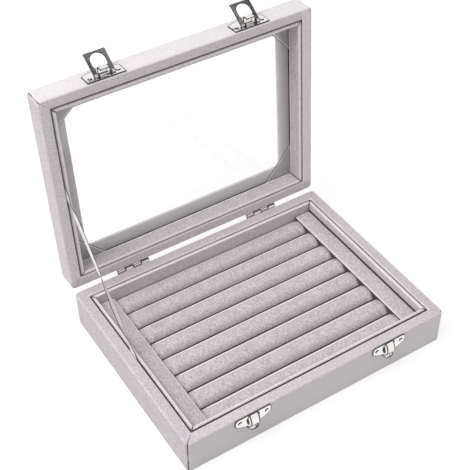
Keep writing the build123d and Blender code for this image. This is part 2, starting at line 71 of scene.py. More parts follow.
def blank_material(name):
    """A material with no nodes yet."""
    material = bpy.data.materials.new(name)
    material.use_nodes = True
    material.node_tree.nodes.clear()
    return material


def give(material, nodes):
    """Gives CAD nodes that keep their own shape a finish."""
    for name in nodes:
        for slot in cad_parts[name].material_slots:
            slot.material = material


# Greyboard: a warm mid grey with paler and darker paper fibres about 1.5 mm long, and no shine.
greyboard = blank_material("pressed_greyboard")
place = add_node(greyboard, "ShaderNodeTexCoord", {})
fibre = add_node(greyboard, "ShaderNodeTexNoise", {
    "Vector": place.outputs["Object"], "Scale": 650.0, "Detail": 4.0})
tone = add_node(greyboard, "ShaderNodeValToRGB", {"Fac": fibre.outputs["Fac"]})
tone.color_ramp.elements[0].position = 0.3
tone.color_ramp.elements[0].color = colour("#77726c")
tone.color_ramp.elements[1].position = 0.7
tone.color_ramp.elements[1].color = colour("#9a958d")
dent = add_node(greyboard, "ShaderNodeBump", {
    "Height": fibre.outputs["Fac"], "Strength": 0.3, "Distance": 0.0001})
surface = add_node(greyboard, "ShaderNodeBsdfPrincipled", {
    "Base Color": tone.outputs["Color"], "Roughness": 0.9, "Normal": dent.outputs["Normal"]})
add_node(greyboard, "ShaderNodeOutputMaterial", {"Surface": surface.outputs["BSDF"]})
give(greyboard, ["base_front_board", "base_back_board", "base_left_board", "base_right_board",
                 "base_floor_board", "ring_tray_board", "lid_front_board", "lid_back_board",
                 "lid_left_board", "lid_right_board", "lid_window_border"])

# ---------------------------------------- underside sheet
# A sheet of thin grey backing paper, pasted over the raw velvet edges so that the box stands flat.
# It is embossed, as bookbinder's paper is.

# Backing paper: a flat mid grey with a faint, even pebble 0.8 mm across and a dull shine.
backing_paper = blank_material("embossed_backing_paper")
place = add_node(backing_paper, "ShaderNodeTexCoord", {})
pebble = add_node(backing_paper, "ShaderNodeTexVoronoi", {"Vector": place.outputs["Object"], "Scale": 1250.0})
tone = add_node(backing_paper, "ShaderNodeValToRGB", {"Fac": pebble.outputs["Distance"]})
tone.color_ramp.elements[0].color = colour("#8a8487")
tone.color_ramp.elements[1].color = colour("#746f72")
dent = add_node(backing_paper, "ShaderNodeBump", {
    "Height": pebble.outputs["Distance"], "Strength": 0.4, "Distance": 0.0001}, invert=True)
surface = add_node(backing_paper, "ShaderNodeBsdfPrincipled", {
    "Base Color": tone.outputs["Color"], "Roughness": 0.7, "Normal": dent.outputs["Normal"]})
add_node(backing_paper, "ShaderNodeOutputMaterial", {"Surface": surface.outputs["BSDF"]})
give(backing_paper, ["base_underside_sheet"])

# ---------------------------------------- base velvet cover
# One strip of velvet, glued round the four walls, folded over the rim and down inside, and turned
# under the floor. It is cut and butted at the front left corner, and pinched to a mitre at each corner.
half_width = 100.0
half_depth = 75.0
base_height = 27.0
velvet_thickness = 0.7
hem_width = 8.0
hem_level = 0.1
rim_round = 1.2
inner_rim_round = 1.2
rim_width = 7.6
turn_in = 10.0
corner_round = 3.0
tight_corner = 0.7
corner_steps = 6
long_steps = 34
short_steps = 26
wall_foot = 0.6
mitre_reach = 6.5
paste_swell = 0.14
paste_wavelength = 22.0
darkest_seam_and_shade = -1.0


def arc(inset, level, radius, first, last, steps):
    """Points of a rounded edge as (inset, level), from one angle to another in degrees."""
    angles = [math.radians(first + (last - first) * k / steps) for k in range(steps + 1)]
    return [(inset + radius * math.cos(a), level + radius * math.sin(a)) for a in angles]


def ring_points(half_x, half_y, corner, level, seams=(0, 0, 0, 0), creases=(0, 0, 0, 0)):
    """Places round a rounded rectangle, from the right, anticlockwise. At the middle of each corner
    a seam pulls the cloth in, and a crease pulls it down."""
    corners = []
    for quarter in range(4):
        side_x = 1 if quarter in (0, 3) else -1
        side_y = 1 if quarter in (0, 1) else -1
        centre = Vector((side_x * (half_x - corner), side_y * (half_y - corner), level))
        bend = []
        for step in range(corner_steps + 1):
            turn = math.radians(90 * (quarter + step / corner_steps))
            middle = step == corner_steps // 2
            reach = corner - (seams[quarter] if middle else 0)
            drop = creases[quarter] if middle else 0
            bend.append(centre + Vector((reach * math.cos(turn), reach * math.sin(turn), -drop)))
        corners.append(bend)
    places = []
    for quarter, steps in enumerate((long_steps, short_steps, long_steps, short_steps)):
        start = corners[quarter][-1]
        end = corners[(quarter + 1) % 4][0]
        places += corners[quarter]
        places += [start.lerp(end, 0.5 - 0.5 * math.cos(math.pi * k / steps)) for k in range(1, steps)]
    return places


def loft(rings):
    """A skin through rings of places, made by extruding one ring to the next."""
    skin = bmesh.new()
    ring = bmesh.ops.create_circle(skin, segments=len(rings[0]), radius=1)["verts"]
    for vertex, spot in zip(ring, rings[0]):
        vertex.co = spot
    for spots in rings[1:]:
        edges = [skin.edges.get((a, b)) for a, b in zip(ring, ring[1:] + ring[:1])]
        grown = bmesh.ops.extrude_edge_only(skin, edges=edges)["geom"]
        grown = {g for g in grown if isinstance(g, bmesh.types.BMVert)}
        ring = [next(e.other_vert(v) for e in v.link_edges if e.other_vert(v) in grown) for v in ring]
        for vertex, spot in zip(ring, spots):
            vertex.co = spot
    bmesh.ops.remove_doubles(skin, verts=skin.verts, dist=1e-4)
    bmesh.ops.recalc_face_normals(skin, faces=skin.faces)
    return skin


def hand_worked(shape, amount, wavelength, seed):
    """Makes a surface very slightly uneven, as cloth pasted by hand is."""
    shape.normal_update()
    for vertex in shape.verts:
        swell = noise.noise(vertex.co / wavelength + Vector((seed, -seed, seed / 2)))
        vertex.co += vertex.normal * amount * swell


def set_piece(shape, name, body, material, nodes, crease_angle=180.0):
    """Turns a shape drawn in millimetres into a finished piece that rides on a body."""
    bmesh.ops.scale(shape, vec=(0.001, 0.001, 0.001), verts=shape.verts)
    mesh = bpy.data.meshes.new(name)
    for face in shape.faces:
        face.smooth = True
    shape.to_mesh(mesh)
    shape.free()
    if crease_angle < 180.0:
        mesh.set_sharp_from_angle(angle=math.radians(crease_angle))
    mesh.materials.append(material)
    piece = bpy.data.objects.new(name, mesh)
    bpy.context.scene.collection.objects.link(piece)
    if body:
        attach(piece, body)
    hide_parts(*nodes)
    return piece


def soften(piece, thickness=0.0):
    """Gives a skin its cloth thickness, inwards, and rounds it."""
    if thickness:
        wall = piece.modifiers.new("cloth thickness", "SOLIDIFY")
        wall.thickness = thickness / 1000
        wall.offset = -1.0
    smooth = piece.modifiers.new("softness", "SUBSURF")
    smooth.levels = 1
    smooth.render_levels = 1


def mark_seams_and_painted_light(shape, rule):
    """Notes at each point how much painted highlight it takes, up to 1, and how dark its painted shade
    and seams are, down to -1."""
    seams_and_painted_light = shape.verts.layers.float.new("seams_and_painted_light")
    for vertex in shape.verts:
        vertex[seams_and_painted_light] = max(darkest_seam_and_shade, min(1.0, rule(vertex.co)))


def mark_pressed(shape, rule):
    """Notes at each point how flat the pile was pressed when the cloth was pasted, from 0 to 1."""
    pressed = shape.verts.layers.float.new("pressed")
    for vertex in shape.verts:
        vertex[pressed] = rule(vertex.co)


def velvet(name, pale, deep, sheen):
    """Short-pile velvet: matt from above, paler where its pile is seen from the side, and clouded
    where the pile was brushed one way or the other. pale and deep are the two ends of the clouding.
    Pressed flat it turns smooth and a plainer grey. Painted highlights are mixed in towards near-white,
    where over an edge the pile also parts, and painted shade and dark seams towards near-black."""
    cloth = blank_material(name)
    where = add_node(cloth, "ShaderNodeTexCoord", {})
    # the pile lies in one slanting direction, so its clumps are twice as long as they are wide
    along_pile = add_node(cloth, "ShaderNodeMapping", {
        "Vector": where.outputs["Object"], "Rotation": (0.0, 0.0, 0.6), "Scale": (1.0, 0.5, 1.0)})
    # brushed patches 11 mm across, broken by smaller ones
    brushed = add_node(cloth, "ShaderNodeTexNoise", {
        "Vector": along_pile.outputs["Vector"], "Scale": 90.0, "Detail": 4.0, "Roughness": 0.6})
    # tufts are 0.3 mm in the real cloth, and are drawn in clumps of 1 mm so that they show
    tuft = add_node(cloth, "ShaderNodeTexNoise", {
        "Vector": along_pile.outputs["Vector"], "Scale": 1000.0, "Detail": 2.0, "Roughness": 0.8})
    both = add_node(cloth, "ShaderNodeMix", {
        "Factor": 0.85, "A": brushed.outputs["Fac"], "B": tuft.outputs["Fac"]}, data_type="FLOAT")
    pressed = add_node(cloth, "ShaderNodeAttribute", {}, attribute_name="pressed")
    calmed = add_node(cloth, "ShaderNodeMix", {
        "Factor": pressed.outputs["Fac"], "A": both.outputs["Result"], "B": 0.5}, data_type="FLOAT")
    shade = add_node(cloth, "ShaderNodeValToRGB", {"Fac": calmed.outputs["Result"]})
    shade.color_ramp.elements[0].position = 0.29
    shade.color_ramp.elements[0].color = colour(deep)
    shade.color_ramp.elements[1].position = 0.71
    shade.color_ramp.elements[1].color = colour(pale)
    flattened = add_node(cloth, "ShaderNodeMixRGB", {
        "Fac": pressed.outputs["Fac"], "Color1": shade.outputs["Color"], "Color2": colour("#d8d4d6")})
    # painted light: the attribute read here mixes in painted highlights towards near-white, and painted shade
    # and dark seams towards near-black
    seams_and_painted_light = add_node(cloth, "ShaderNodeAttribute", {}, attribute_name="seams_and_painted_light")
    parted_pile_and_painted_highlight = add_node(cloth, "ShaderNodeMapRange", {
        "Value": seams_and_painted_light.outputs["Fac"], "From Min": 0.0, "From Max": 1.0, "To Min": 0.0, "To Max": 1.0})
    edged = add_node(cloth, "ShaderNodeMixRGB", {
        "Fac": parted_pile_and_painted_highlight.outputs["Result"], "Color1": flattened.outputs["Color"], "Color2": colour("#fbf7f9")})
    seams_and_painted_shade = add_node(cloth, "ShaderNodeMapRange", {
        "Value": seams_and_painted_light.outputs["Fac"], "From Min": 0.0, "From Max": -1.0, "To Min": 0.0, "To Max": 1.0})
    with_seams_and_painted_shade = add_node(cloth, "ShaderNodeMixRGB", {
        "Fac": seams_and_painted_shade.outputs["Result"], "Color1": edged.outputs["Color"], "Color2": colour("#1c191b")})
    nap = add_node(cloth, "ShaderNodeBump", {
        "Height": tuft.outputs["Fac"], "Strength": 0.5, "Distance": 0.0004})
    pile = add_node(cloth, "ShaderNodeBsdfPrincipled", {
        "Base Color": with_seams_and_painted_shade.outputs["Color"], "Roughness": 0.95, "Specular IOR Level": 0.15,
        "Sheen Weight": sheen, "Sheen Roughness": 0.45, "Normal": nap.outputs["Normal"]})
    add_node(cloth, "ShaderNodeOutputMaterial", {"Surface": pile.outputs["BSDF"]})
    return cloth


wrapped_velvet = velvet("pasted_cotton_velvet", "#eee6ea", "#bbb2b7", 0.25)

profile = [(hem_width, hem_level), (4.0, hem_level), (0.6, hem_level), (0.15, 0.2), (0.0, wall_foot)]
profile += [(0.0, wall_foot + 4.1 * k) for k in range(1, 6)]
profile += arc(rim_round, base_height - rim_round, rim_round, 180, 90, 6)
profile += [(3.0, base_height), (4.2, base_height), (5.4, base_height)]
profile += arc(rim_width - inner_rim_round, base_height - inner_rim_round, inner_rim_round, 90, 0, 5)
profile += [(rim_width, base_height - turn_in * share) for share in (0.3, 0.6, 1.0)]

base_rings = []
for inset, level in profile:
    upright = inset < 1.0 and level > 1.0
    on_rim = level > base_height - 1.0 and inset > 0.5
    seams = (0.10, 0.10, 0.40, 0.10) if upright else (0, 0, 0, 0)
    creases = (0.30, 0.18, 0.45, 0.28) if on_rim else (0, 0, 0, 0)
    base_rings.append(ring_points(half_width - inset, half_depth - inset,
                                  max(corner_round - inset, tight_corner), level, seams, creases))
base_wrap = loft(base_rings)


def in_from_walls(place):
    """How far a place is inside the side walls' outer face, and inside the front or back wall's."""
    return half_width - abs(place.x), half_depth - abs(place.y)


def base_seams_and_painted_light(place):
    """Painted highlight along the rim's inner edge, where the pile also parts over the fold, painted
    shade in the gap beside the liners, and dark corner seams. The front wall is painted a little paler,
    and the left wall and three rims a little darker, as painted light and shade."""
    from_side, from_end = in_from_walls(place)
    inset = min(from_side, from_end)
    on_rim = place.z > base_height - 1.0
    if abs(from_side - from_end) < 0.05 and inset < mitre_reach:
        stitch = noise.noise(place * 0.9)
        if place.x < 0 and place.y < 0:
            return darkest_seam_and_shade if stitch > -0.12 else -0.35
        return -0.4 - 0.5 * stitch if inset > 0.3 else -0.12
    if place.z < base_height - 1.0 and inset > rim_width - 0.5:
        return darkest_seam_and_shade
    if on_rim and inset > rim_width - 0.8:
        return 0.6
    if on_rim and inset < 0.9:
        return 0.05
    if place.x < 0.6 - half_width:
        return -0.08
    if place.y < 0.6 - half_depth:
        return 0.12 + 0.1 * place.x / half_width
    if on_rim and (from_side < rim_width or place.y > half_depth - rim_width):
        return -0.08
    return 0.0


def base_pressed(place):
    """The front wall was pressed flat, up to the rim."""
    return 0.6 if place.y < 0.6 - half_depth and place.z < base_height - 1.0 else 0.0


mark_seams_and_painted_light(base_wrap, base_seams_and_painted_light)
mark_pressed(base_wrap, base_pressed)
hand_worked(base_wrap, paste_swell, paste_wavelength, 3.1)
base_cover = set_piece(base_wrap, "base_velvet_wrap", "base", wrapped_velvet, ["base_velvet_cover"])
soften(base_cover, velvet_thickness)

# ---------------------------------------- base liners
# Four strips of board in velvet stand inside the walls, mitred where they meet, and hide the raw
# turn-in. They are dropped in last, so a thin dark gap shows between each liner and the rim.
liner_outer_x = 91.9
liner_outer_y = 66.9
liner_round = 1.0
liner_thickness = 2.8
base_liner_foot = 3.9
base_liner_head = 26.7
mitre_gap = 0.06
bar_top = 20.2
# for each side: half its length, how far out it stands, and its turn from the front
liner_sides = {"front": (liner_outer_x, liner_outer_y, 0), "right": (liner_outer_y, liner_outer_x, 90),
               "back": (liner_outer_x, liner_outer_y, 180), "left": (liner_outer_y, liner_outer_x, 270)}

liner_velvet = velvet("liner_velvet", "#e8dfe3", "#b2a9ad", 0.25)


def score(shape, point, normal):
    """Cuts a line of points round a shape where a plane crosses it."""
    bmesh.ops.bisect_plane(shape, geom=shape.verts[:] + shape.edges[:] + shape.faces[:], dist=1e-5,
                           plane_co=point, plane_no=normal)


def turned(shape, degrees):
    """Turns a shape about the upright axis."""
    turn = Matrix.Rotation(math.radians(degrees), 3, "Z")
    bmesh.ops.rotate(shape, cent=(0, 0, 0), matrix=turn, verts=shape.verts)


def liner(side, foot, head, foot_painted_light, face_painted_shade, touched, seed):
    """A mitred, velvet-covered strip whose rounded edge shows at the level of its head. Two marks give
    the painted light along its foot, pale or dark, and the painted shade on its inner face. Its mitred
    ends are dark seams, and a line of painted shade runs where a pad touches it, unless touched is 0."""
    half_run, setback, turn = liner_sides[side]
    strip = bmesh.new()
    bmesh.ops.create_cube(strip, size=1)
    for vertex in strip.verts:
        outer = vertex.co.y < 0
        reach = half_run - mitre_gap - (0 if outer else liner_thickness)
        vertex.co = Vector((math.copysign(reach, vertex.co.x),
                            -setback if outer else liner_thickness - setback,
                            max(foot, head) if vertex.co.z > 0 else min(foot, head)))
    shown = [e for e in strip.edges if all(abs(v.co.z - head) < 1e-6 for v in e.verts)]
    bmesh.ops.bevel(strip, geom=shown, offset=liner_round, segments=4, profile=0.5,
                    affect="EDGES", material=-1)
    runs = [e for e in strip.edges if abs(e.verts[0].co.x - e.verts[1].co.x) > half_run]
    bmesh.ops.subdivide_edges(strip, edges=runs, cuts=40, use_grid_fill=True)
    for depth in (0.7, 0.9):
        score(strip, (0, 0, foot + math.copysign(depth, head - foot)), (0, 0, 1))
    if touched:
        for level in (touched - 1.2, touched + 0.4, touched + 0.6):
            score(strip, (0, 0, level), (0, 0, 1))
    for end in (-1, 1):
        for depth in (0.4, 0.6):
            score(strip, (end * (half_run - mitre_gap - depth), -setback, 0), (end, 1, 0))

    def liner_seams_and_painted_light(place):
        """Painted highlight along the inner edge, dark seams at the mitres, and painted shade beside the rim,
        more so in the base.
        """
        across = place.y + setback
        if half_run - mitre_gap - across - abs(place.x) < 0.5:
            return -0.7
        if abs(place.z - foot) < 0.8:
            return foot_painted_light
        if abs(place.z - head) < liner_round * 0.6 and across > liner_thickness - liner_round * 1.05:
            return 0.75
        if across < 0.5:
            return -0.9 if head > foot else -0.6
        if touched and touched - 1.3 < place.z < touched + 0.5:
            return -0.9
        return face_painted_shade if across > liner_thickness - 0.2 else 0.0

    mark_seams_and_painted_light(strip, liner_seams_and_painted_light)
    hand_worked(strip, 0.10, 18.0, turn / 40 + seed)
    bmesh.ops.recalc_face_normals(strip, faces=strip.faces)
    turned(strip, turn)
    return strip


# the base liners take painted shade along their feet, and the back liner a little painted shade over its face
for side in liner_sides:
    strip = liner(side, base_liner_foot, base_liner_head, -0.9, -0.12 if side == "back" else 0.0,
                  bar_top if side in ("left", "right") else 0, 1)
    set_piece(strip, "base_" + side + "_liner", "base", liner_velvet,
              ["base_liner_" + side], 40.0)

# ---------------------------------------- ring rolls
# Eight rolls of firm foam, each in its own tube of velvet, glued side by side on the tray so that
# they press together. A ring's band goes down into the slit between two of them.
roll_count = 8
roll_pitch = 16.025
roll_slot = 0.2
roll_half_length = 76.1
tray_top = 5.4
roll_top = 18.5
roll_shoulder = 5.0
roll_crown = 12.0
roll_end_round = 0.35
slit_shade_low = 14.8
slit_shade_high = 15.4
first_roll_edge = 64.1

roll_velvet = velvet("roll_velvet", "#ece3e7", "#aaa1a5", 0.3)


def pad_section(half, low, high, shoulder, crown):
    """Half-round outline of a pad in YZ: flat foot, upright sides, round shoulders and a low crown."""
    crown_level = high - crown
    shoulder_out = half - shoulder
    shoulder_level = crown_level + math.sqrt((crown - shoulder) ** 2 - shoulder_out ** 2)
    lean = math.degrees(math.atan2(shoulder_level - crown_level, shoulder_out))
    right = [(half * share, low) for share in (0.0, 0.5)] + [(half - 0.5, low), (half, low + 0.5)]
    right += [(half, low + (shoulder_level - low) * share) for share in (0.35, 0.7)]
    right += arc(shoulder_out, shoulder_level, shoulder, 0, lean, 7)
    right += arc(0, crown_level, crown, lean, 90, 7)[1:]
    left = [(-across, level) for across, level in right[-2:0:-1]]
    return right + left


def pad(half, low, high, shoulder, crown, half_length, end_round, steps):
    """A closed pad along X whose ends are rounded in."""
    near_ends = [end_round * share for share in (0.0, 0.12, 0.4, 0.75)]
    inner_reach = half_length - 2 * end_round
    stations = [half_length - s for s in near_ends]
    stations += [inner_reach * math.cos(math.pi * k / steps) for k in range(steps + 1)]
    stations += [s - half_length for s in reversed(near_ends)]
    rings = []
    for station in stations:
        from_end = min(half_length - abs(station), end_round)
        inset = end_round - math.sqrt(end_round ** 2 - (end_round - from_end) ** 2)
        section = pad_section(half - inset, low, high - inset, max(shoulder - inset, 0.8), crown)
        rings.append([Vector((station, across, level)) for across, level in section])
    cushion = loft(rings)
    open_ends = [e for e in cushion.edges if e.is_boundary]
    caps = bmesh.ops.holes_fill(cushion, edges=open_ends)["faces"]
    bmesh.ops.inset_region(cushion, faces=caps, thickness=0.5, use_even_offset=True)
    bmesh.ops.recalc_face_normals(cushion, faces=cushion.faces)
    return cushion


def puff(shape, amount, wavelength, seed, foot):
    """Raises and sinks the upper part of a pad a little, unevenly, as foam in a cloth tube is."""
    for vertex in shape.verts:
        if vertex.co.z > foot:
            swell = noise.noise(Vector((vertex.co.x / wavelength, vertex.co.y / (wavelength / 3), seed)))
            vertex.co.z += amount * swell


def roll_painted_light(place):
    """Painted shade down in the slits, on the front shoulder and where an end is pressed to its bar, and
    a painted highlight over the back shoulder."""
    if place.z < slit_shade_high:
        return (place.z - slit_shade_high) / (slit_shade_high - slit_shade_low)
    from_end = roll_half_length - abs(place.x)
    if from_end < 1.0 and place.z < roll_top - 0.8:
        return -0.6
    if from_end < 4.0:
        return -0.3 * (1 - from_end / 4.0)
    if 4.6 < place.y < 7.2:
        return 0.8
    return -0.08 * max(0.0, -place.y - 3.0)


for number in range(roll_count):
    roll = pad((roll_pitch - roll_slot) / 2, tray_top, roll_top, roll_shoulder, roll_crown,
               roll_half_length, roll_end_round, 44)
    mark_seams_and_painted_light(roll, roll_painted_light)
    puff(roll, 0.25, 30.0, 7.7 * number, roll_top - 6)
    middle = first_roll_edge - roll_pitch * (number + 0.5)
    bmesh.ops.translate(roll, vec=(0, middle, 0), verts=roll.verts)
    piece = set_piece(roll, "velvet_roll_%d" % (number + 1), "base", roll_velvet,
                      ["ring_roll_%d" % (number + 1), "ring_roll_cores"])
    soften(piece)

# ---------------------------------------- end bars
# A squarer foam bar in velvet stands across each end of the rolls and holds them together. Its
# corners are tucked in and its top is nearly flat.
bar_width = 12.6
bar_gap = 0.2
bar_middle = liner_outer_x - liner_thickness - bar_gap - bar_width / 2
bar_half_length = 63.9
bar_corner = 2.0
bar_shoulder = 1.3
bar_crown = 40.0


def bar_painted_light(place, side):
    """A painted highlight over the edge beside the rolls, and painted shade down the sides and along the
    liner. The left bar is painted a little darker all over, as painted shade."""
    inward = place.y * side
    if place.z < bar_top - bar_shoulder:
        return -0.9
    if inward > bar_width / 2 - 0.9:
        return 0.5
    if inward < 0.7 - bar_width / 2:
        return -0.8
    return -0.12 if side < 0 else 0.0


for side, name in ((-1, "left"), (1, "right")):
    bar = pad(bar_width / 2, tray_top, bar_top, bar_shoulder, bar_crown, bar_half_length, bar_corner, 40)
    mark_seams_and_painted_light(bar, lambda place: bar_painted_light(place, side))
    puff(bar, 0.2, 24.0, 5.0 * side, bar_top - 3)
    turned(bar, 90)
    bmesh.ops.translate(bar, vec=(side * bar_middle, 0, 0), verts=bar.verts)
    piece = set_piece(bar, "velvet_bar_" + name, "base", roll_velvet,
                      ["end_bar_" + name, "end_bar_cores"])
    soften(piece)

# ---------------------------------------- catches, hinges and hinge pins
# Stamped from thin steel strip and nickel plated. The press rolls each cut edge slightly. Each leaf
# and catch is fixed through the velvet into the board with two tacks.
dark_edge = 0.35
dark_fade = 0.2
least_panel = 2.5

# Nickel plate: bright and nearly mirror-like, a little dulled in places, with painted shade along its cut
# edges.
nickel = blank_material("stamped_nickel_plate")
place = add_node(nickel, "ShaderNodeTexCoord", {})
# plating varies over about 4 mm, and tumbling leaves faint marks 0.5 mm apart
cloud = add_node(nickel, "ShaderNodeTexNoise", {
    "Vector": place.outputs["Object"], "Scale": 250.0, "Detail": 3.0})
dulled = add_node(nickel, "ShaderNodeMapRange", {
    "Value": cloud.outputs["Fac"], "From Min": 0.3, "From Max": 0.7, "To Min": 0.08, "To Max": 0.22})
tumbled = add_node(nickel, "ShaderNodeTexNoise", {
    "Vector": place.outputs["Object"], "Scale": 2000.0, "Detail": 2.0})
dent = add_node(nickel, "ShaderNodeBump", {
    "Height": tumbled.outputs["Fac"], "Strength": 0.12, "Distance": 0.00005})
tone = add_node(nickel, "ShaderNodeValToRGB", {"Fac": cloud.outputs["Fac"]})
tone.color_ramp.elements[0].color = colour("#e9e7e5")
tone.color_ramp.elements[1].color = colour("#f6f5f3")
# painted shade: cut edges, inner corners and tack rims are painted near-black and made rough, for the dark
# outlines that shade gives them
painted_dark_edge = add_node(nickel, "ShaderNodeAttribute", {}, attribute_name="painted_dark_edge")
edged = add_node(nickel, "ShaderNodeMixRGB", {
    "Fac": painted_dark_edge.outputs["Fac"], "Color1": tone.outputs["Color"], "Color2": colour("#121111")})
rough = add_node(nickel, "ShaderNodeMix", {
    "Factor": painted_dark_edge.outputs["Fac"], "A": dulled.outputs["Result"], "B": 0.65}, data_type="FLOAT")
surface = add_node(nickel, "ShaderNodeBsdfPrincipled", {
    "Base Color": edged.outputs["Color"], "Metallic": 1.0, "Roughness": rough.outputs["Result"],
    "Normal": dent.outputs["Normal"]})
add_node(nickel, "ShaderNodeOutputMaterial", {"Surface": surface.outputs["BSDF"]})


def flat_panels(stamping, sharp_angle):
    """Groups of faces that lie together between sharp edges."""
    left = set(stamping.faces)
    groups = []
    while left:
        group = [left.pop()]
        for face in group:
            for edge in face.edges:
                if len(edge.link_faces) == 2 and edge.calc_face_angle() < sharp_angle:
                    for other in edge.link_faces:
                        if other in left:
                            left.remove(other)
                            group.append(other)
        groups.append(group)
    return groups


def eased_stamping(node, name, body, edge):
    """The same stamping with the press's rolled edges: a merged copy of the CAD piece, its sharp
    edges rounded by edge millimetres. It is painted dark all over as painted shade, except inside
    a border on each panel but the smallest."""
    stamping = bmesh.new()
    stamping.from_mesh(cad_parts[node].data)
    bmesh.ops.scale(stamping, vec=(1000, 1000, 1000), verts=stamping.verts)
    bmesh.ops.remove_doubles(stamping, verts=stamping.verts, dist=0.001)
    bmesh.ops.dissolve_limit(stamping, angle_limit=math.radians(1), verts=stamping.verts,
                             edges=stamping.edges)
    bmesh.ops.triangulate(stamping, faces=stamping.faces)
    painted_dark_edge = stamping.verts.layers.float.new("painted_dark_edge")
    for vertex in stamping.verts:
        vertex[painted_dark_edge] = 0.9
    for group in flat_panels(stamping, math.radians(20)):
        area = sum(face.calc_area() for face in group)
        within = set(group)
        outline = sum(e.calc_length() for face in group for e in face.edges
                      if sum(f in within for f in e.link_faces) == 1)
        if area > least_panel and area / outline > 1.2 * (dark_edge + dark_fade):
            for thickness in (dark_edge, dark_fade):
                bmesh.ops.inset_region(stamping, faces=group, thickness=thickness, use_boundary=True)
            for vertex in {v for face in group for v in face.verts}:
                vertex[painted_dark_edge] = 0.0
    sharp = [e for e in stamping.edges if len(e.link_faces) == 2 and e.calc_face_angle() > math.radians(35)]
    bmesh.ops.bevel(stamping, geom=sharp, offset=edge, segments=2, profile=0.5, affect="EDGES",
                    material=-1, clamp_overlap=True)
    return set_piece(stamping, name, body, nickel, [node], 40.0)


for side in ("left", "right"):
    eased_stamping("catch_" + side, "beaked_catch_" + side, "base", 0.12)
    eased_stamping("hinge_%s_base_leaf" % side, "hinge_leaf_base_" + side, "base", 0.08)
    eased_stamping("hinge_%s_lid_leaf" % side, "hinge_leaf_lid_" + side, "lid", 0.08)
give(nickel, ["hinge_pins", "latch_pins"])

# ---------------------------------------- tacks
# Small upholstery tacks, nickel plated like the stampings: a domed head and a pointed shank. Two
# go through the holes in each leaf, catch and plate, and are driven into the board.
tack_head_radius = 1.45
tack_head_height = 0.6
tack_head_border = 0.45
tack_shank = 0.42
tack_length = 5.0
leaf_face = 75.6
catch_face = -75.8
plate_face = -75.7
hinge_axis = Vector((0, 76.3, 27.3))
open_angle = 94.0
open_turn = Matrix.Rotation(math.radians(-open_angle), 3, "X")


def swing_open(shape):
    """Carries a lid piece from where it was drawn, shut, to the open rest position."""
    bmesh.ops.rotate(shape, cent=hinge_axis, matrix=open_turn, verts=shape.verts)


def tack_set(spots, seat, driven, lid, name, node):
    """Domed tacks at (x, z) spots, their heads on the plane y = seat, driven the way given in Y."""
    tacks = bmesh.new()
    for x, z in spots:
        head = bmesh.ops.create_uvsphere(tacks, u_segments=20, v_segments=12,
                                         radius=tack_head_radius)["verts"]
        bmesh.ops.scale(tacks, vec=(1, tack_head_height / tack_head_radius, 1), verts=head)
        bmesh.ops.translate(tacks, vec=(x, seat, z), verts=head)
        turn = Matrix.Rotation(math.radians(-90 * driven), 3, "X")
        shank = bmesh.ops.create_cone(tacks, segments=8, radius1=tack_shank, radius2=0.05,
                                      depth=tack_length, cap_ends=True)["verts"]
        bmesh.ops.rotate(tacks, cent=(0, 0, 0), matrix=turn, verts=shank)
        bmesh.ops.translate(tacks, vec=(x, seat + driven * tack_length / 2, z), verts=shank)
    score(tacks, (0, seat + driven * 0.05, 0), (0, driven, 0))
    inner = [v for v in tacks.verts if 0.06 < (v.co.y - seat) * driven < tack_head_height
             and min(math.hypot(v.co.x - x, v.co.z - z) for x, z in spots) > tack_shank + 0.05]
    bmesh.ops.delete(tacks, geom=inner, context="VERTS")
    # painted shade: a dark ring is painted round the rim of each tack head
    painted_dark_edge = tacks.verts.layers.float.new("painted_dark_edge")
    for vertex in tacks.verts:
        from_middle = min(math.hypot(vertex.co.x - x, vertex.co.z - z) for x, z in spots)
        vertex[painted_dark_edge] = 1.0 if from_middle > tack_head_radius - tack_head_border else 0.0
    if lid:
        swing_open(tacks)
    set_piece(tacks, name, "lid" if lid else "base", nickel, [node], 50.0)


leaf_spots = [x + step for x in (-53.5, 53.5) for step in (-7.5, 7.5)]
tack_set([(x, 20.4) for x in leaf_spots], leaf_face, -1, False, "hinge_tacks_base", "hinge_base_tacks")
tack_set([(x, 34.2) for x in leaf_spots], leaf_face, -1, True, "hinge_tacks_lid", "hinge_lid_tacks")
plate_spots = [x + step for x in (-53, 53) for step in (-9.8, 9.8)]
tack_set([(x, 22.8) for x in plate_spots], catch_face, 1, False, "catch_plate_tacks", "catch_tacks")
tack_set([(x, 32.0) for x in plate_spots], plate_face, 1, True, "latch_plate_tacks", "latch_tacks")

# ---------------------------------------- lid velvet cover
# One piece of velvet over the lid frame: round the walls and the rim, across the top, and through
# the window to the inside of the border, where it shows behind the glass as a mat.
lid_rim = 27.6
lid_top = 44.1
mat_level = 41.75
window_margin = 20.3
window_corner = 4.0
window_round = 1.2

profile = [(rim_width, 37.0), (rim_width, 39.6), (rim_width + 0.1, 41.3), (8.2, mat_level)]
profile += [(inset, mat_level) for inset in (9.6, 10.4, 10.7, 11.1, 11.5, 13.0, 15.4, 18.0, 19.5)]
profile += [(window_margin - 0.3, mat_level), (window_margin, mat_level + 0.3)]
profile += [(window_margin, 42.5)]
profile += arc(window_margin - window_round, lid_top - window_round, window_round, 0, 90, 4)
profile += [(inset, lid_top) for inset in (17.0, 13.5, 10.0, 6.5, 3.5)]
profile += arc(rim_round, lid_top - rim_round, rim_round, 90, 180, 6)
profile += [(0.0, 39.2), (0.0, 35.9), (0.0, 32.6)]
profile += arc(rim_round, lid_rim + rim_round, rim_round, 180, 270, 6)
profile += [(3.0, lid_rim), (4.2, lid_rim), (5.4, lid_rim)]
profile += arc(rim_width - inner_rim_round, lid_rim + inner_rim_round, inner_rim_round, 270, 360, 5)
profile += [(rim_width, 32.4), (rim_width, 37.0)]

